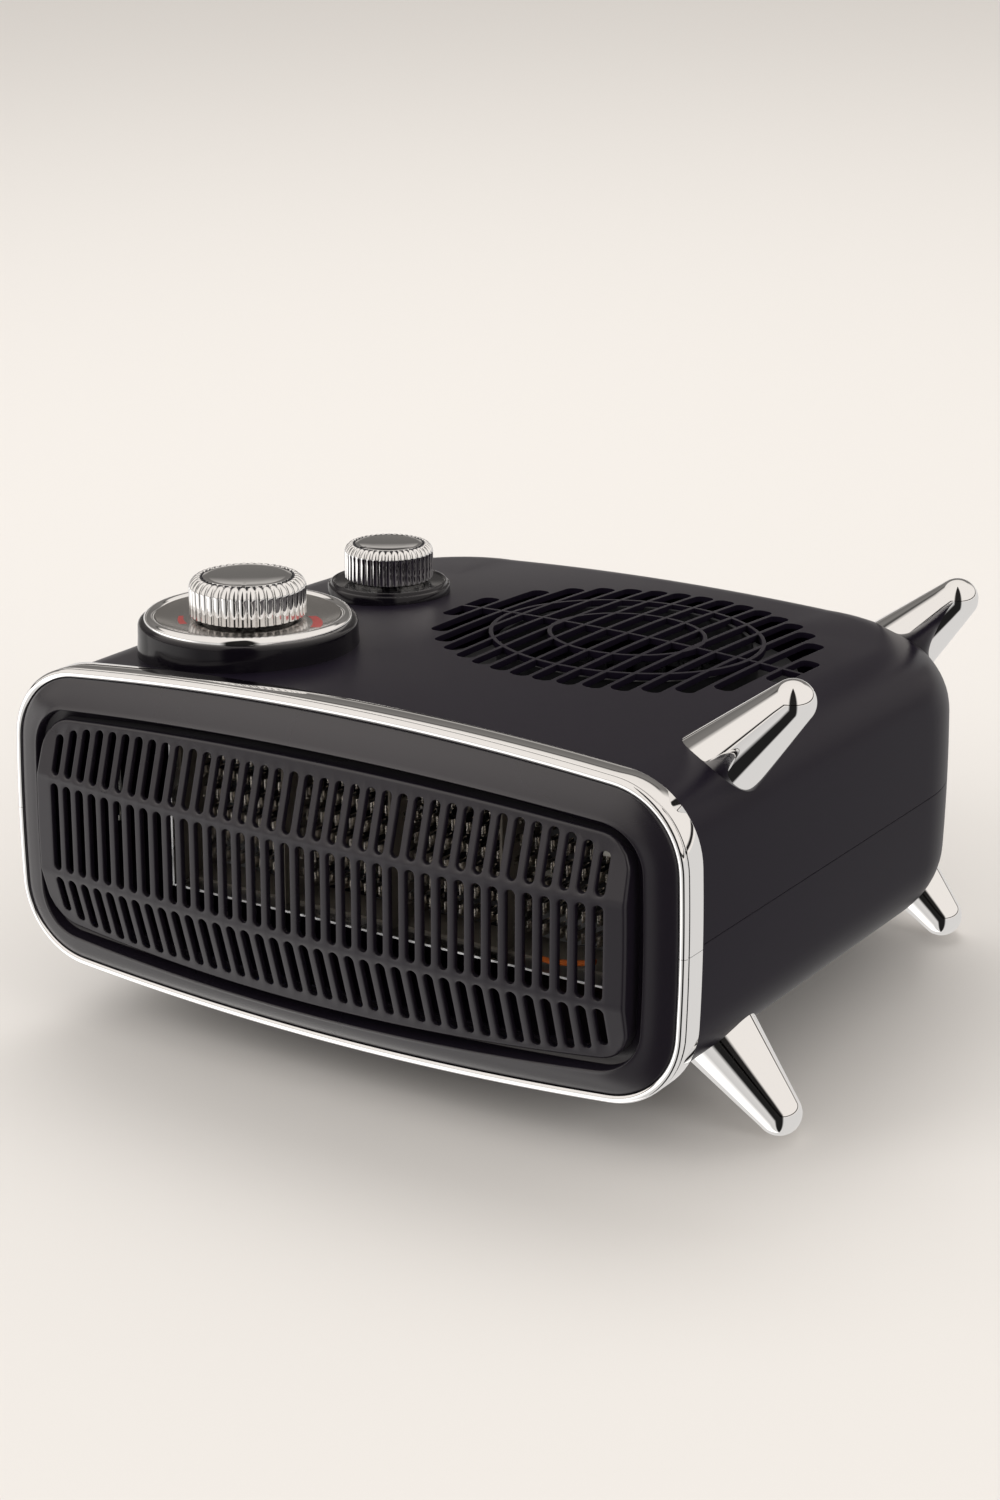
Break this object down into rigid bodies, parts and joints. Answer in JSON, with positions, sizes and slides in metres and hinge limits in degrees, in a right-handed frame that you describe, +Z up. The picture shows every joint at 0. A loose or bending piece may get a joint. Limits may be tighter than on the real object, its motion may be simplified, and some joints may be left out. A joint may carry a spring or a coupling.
{
  "type": "fan heater",
  "caption": "Low rounded fan heater with a slotted front grille, a round top intake, a thermostat dial, a function knob and splayed legs.",
  "frame": {"origin": "middle of the whole object's footprint, on the surface that it rests on", "axes": "+Z up, +X along the front towards the end with the legs, +Y from the outlet grille towards the back"},
  "size_m": [0.316, 0.2955, 0.1778],
  "materials": {
    "black_plastic": "satin black moulded plastic with a fine grain",
    "inner_plastic": "heat-resistant black plastic",
    "chrome": "bright chrome plate on moulded plastic",
    "dial": "silver lacquer with a red zone",
    "steel": "plain or zinc-plated steel",
    "rubber": "soft black rubber",
    "copper": "enamelled copper wire",
    "mica": "pressed mica board",
    "ceramic": "white ceramic",
    "lead_blue": "blue insulated wire",
    "lead_brown": "brown insulated wire",
    "lead_orange": "orange insulated wire"
  },
  "bodies": {
    "case": {"upper_case": "black_plastic", "lower_case": "black_plastic", "rim_upper": "chrome", "rim_lower": "chrome", "front_bezel": "black_plastic", "outlet_grille": "black_plastic", "thermostat_collar": "black_plastic", "dial_ring": "chrome", "dial_scale": "dial", "thermostat": "inner_plastic", "function_collar": "black_plastic", "function_switch": "inner_plastic", "leg_upper_front": "chrome", "leg_upper_rear": "chrome", "leg_lower_front": "chrome", "leg_lower_rear": "chrome", "leg_screws": "steel", "stub_foot_front": "black_plastic", "stub_foot_rear": "black_plastic", "foot_pads": "rubber", "case_screws": "steel", "cable_gland": "inner_plastic", "fan_duct": "inner_plastic", "inlet_ring": "inner_plastic", "motor_stator": "steel", "motor_coil": "copper", "motor_bridge_upper": "steel", "motor_bridge_lower": "steel", "motor_screws": "steel", "duct_screws": "steel", "outlet_duct": "steel", "mica_frame": "mica", "heating_ribbon": "steel", "thermal_cutout": "steel", "thermal_fuse": "ceramic", "terminal_block": "ceramic", "lead_blue": "lead_blue", "lead_brown": "lead_brown", "lead_orange": "lead_orange"},
    "thermostat_control": {"thermostat_knob": "chrome", "thermostat_spindle": "steel"},
    "function_control": {"function_knob": "chrome", "function_spindle": "steel"},
    "fan": {"impeller": "inner_plastic", "motor_shaft": "steel"}
  },
  "joints": [
    {"name": "thermostat_turn", "type": "hinge", "parent": "case", "child": "thermostat_control", "pos_m": [-0.089, -0.06309, 0.16752], "axis": [0, 0.0504, 0.9987], "range_deg": [-140, 140]},
    {"name": "function_turn", "type": "hinge", "parent": "case", "child": "function_control", "pos_m": [-0.089, 0.03357, 0.15653], "axis": [0, 0.0504, 0.9987], "range_deg": [-135, 0]},
    {"name": "fan_spin", "type": "hinge", "parent": "case", "child": "fan", "pos_m": [0.0294, 0.02361, 0.08204], "axis": [0, 0.0504, 0.9987], "continuous": true}
  ]
}
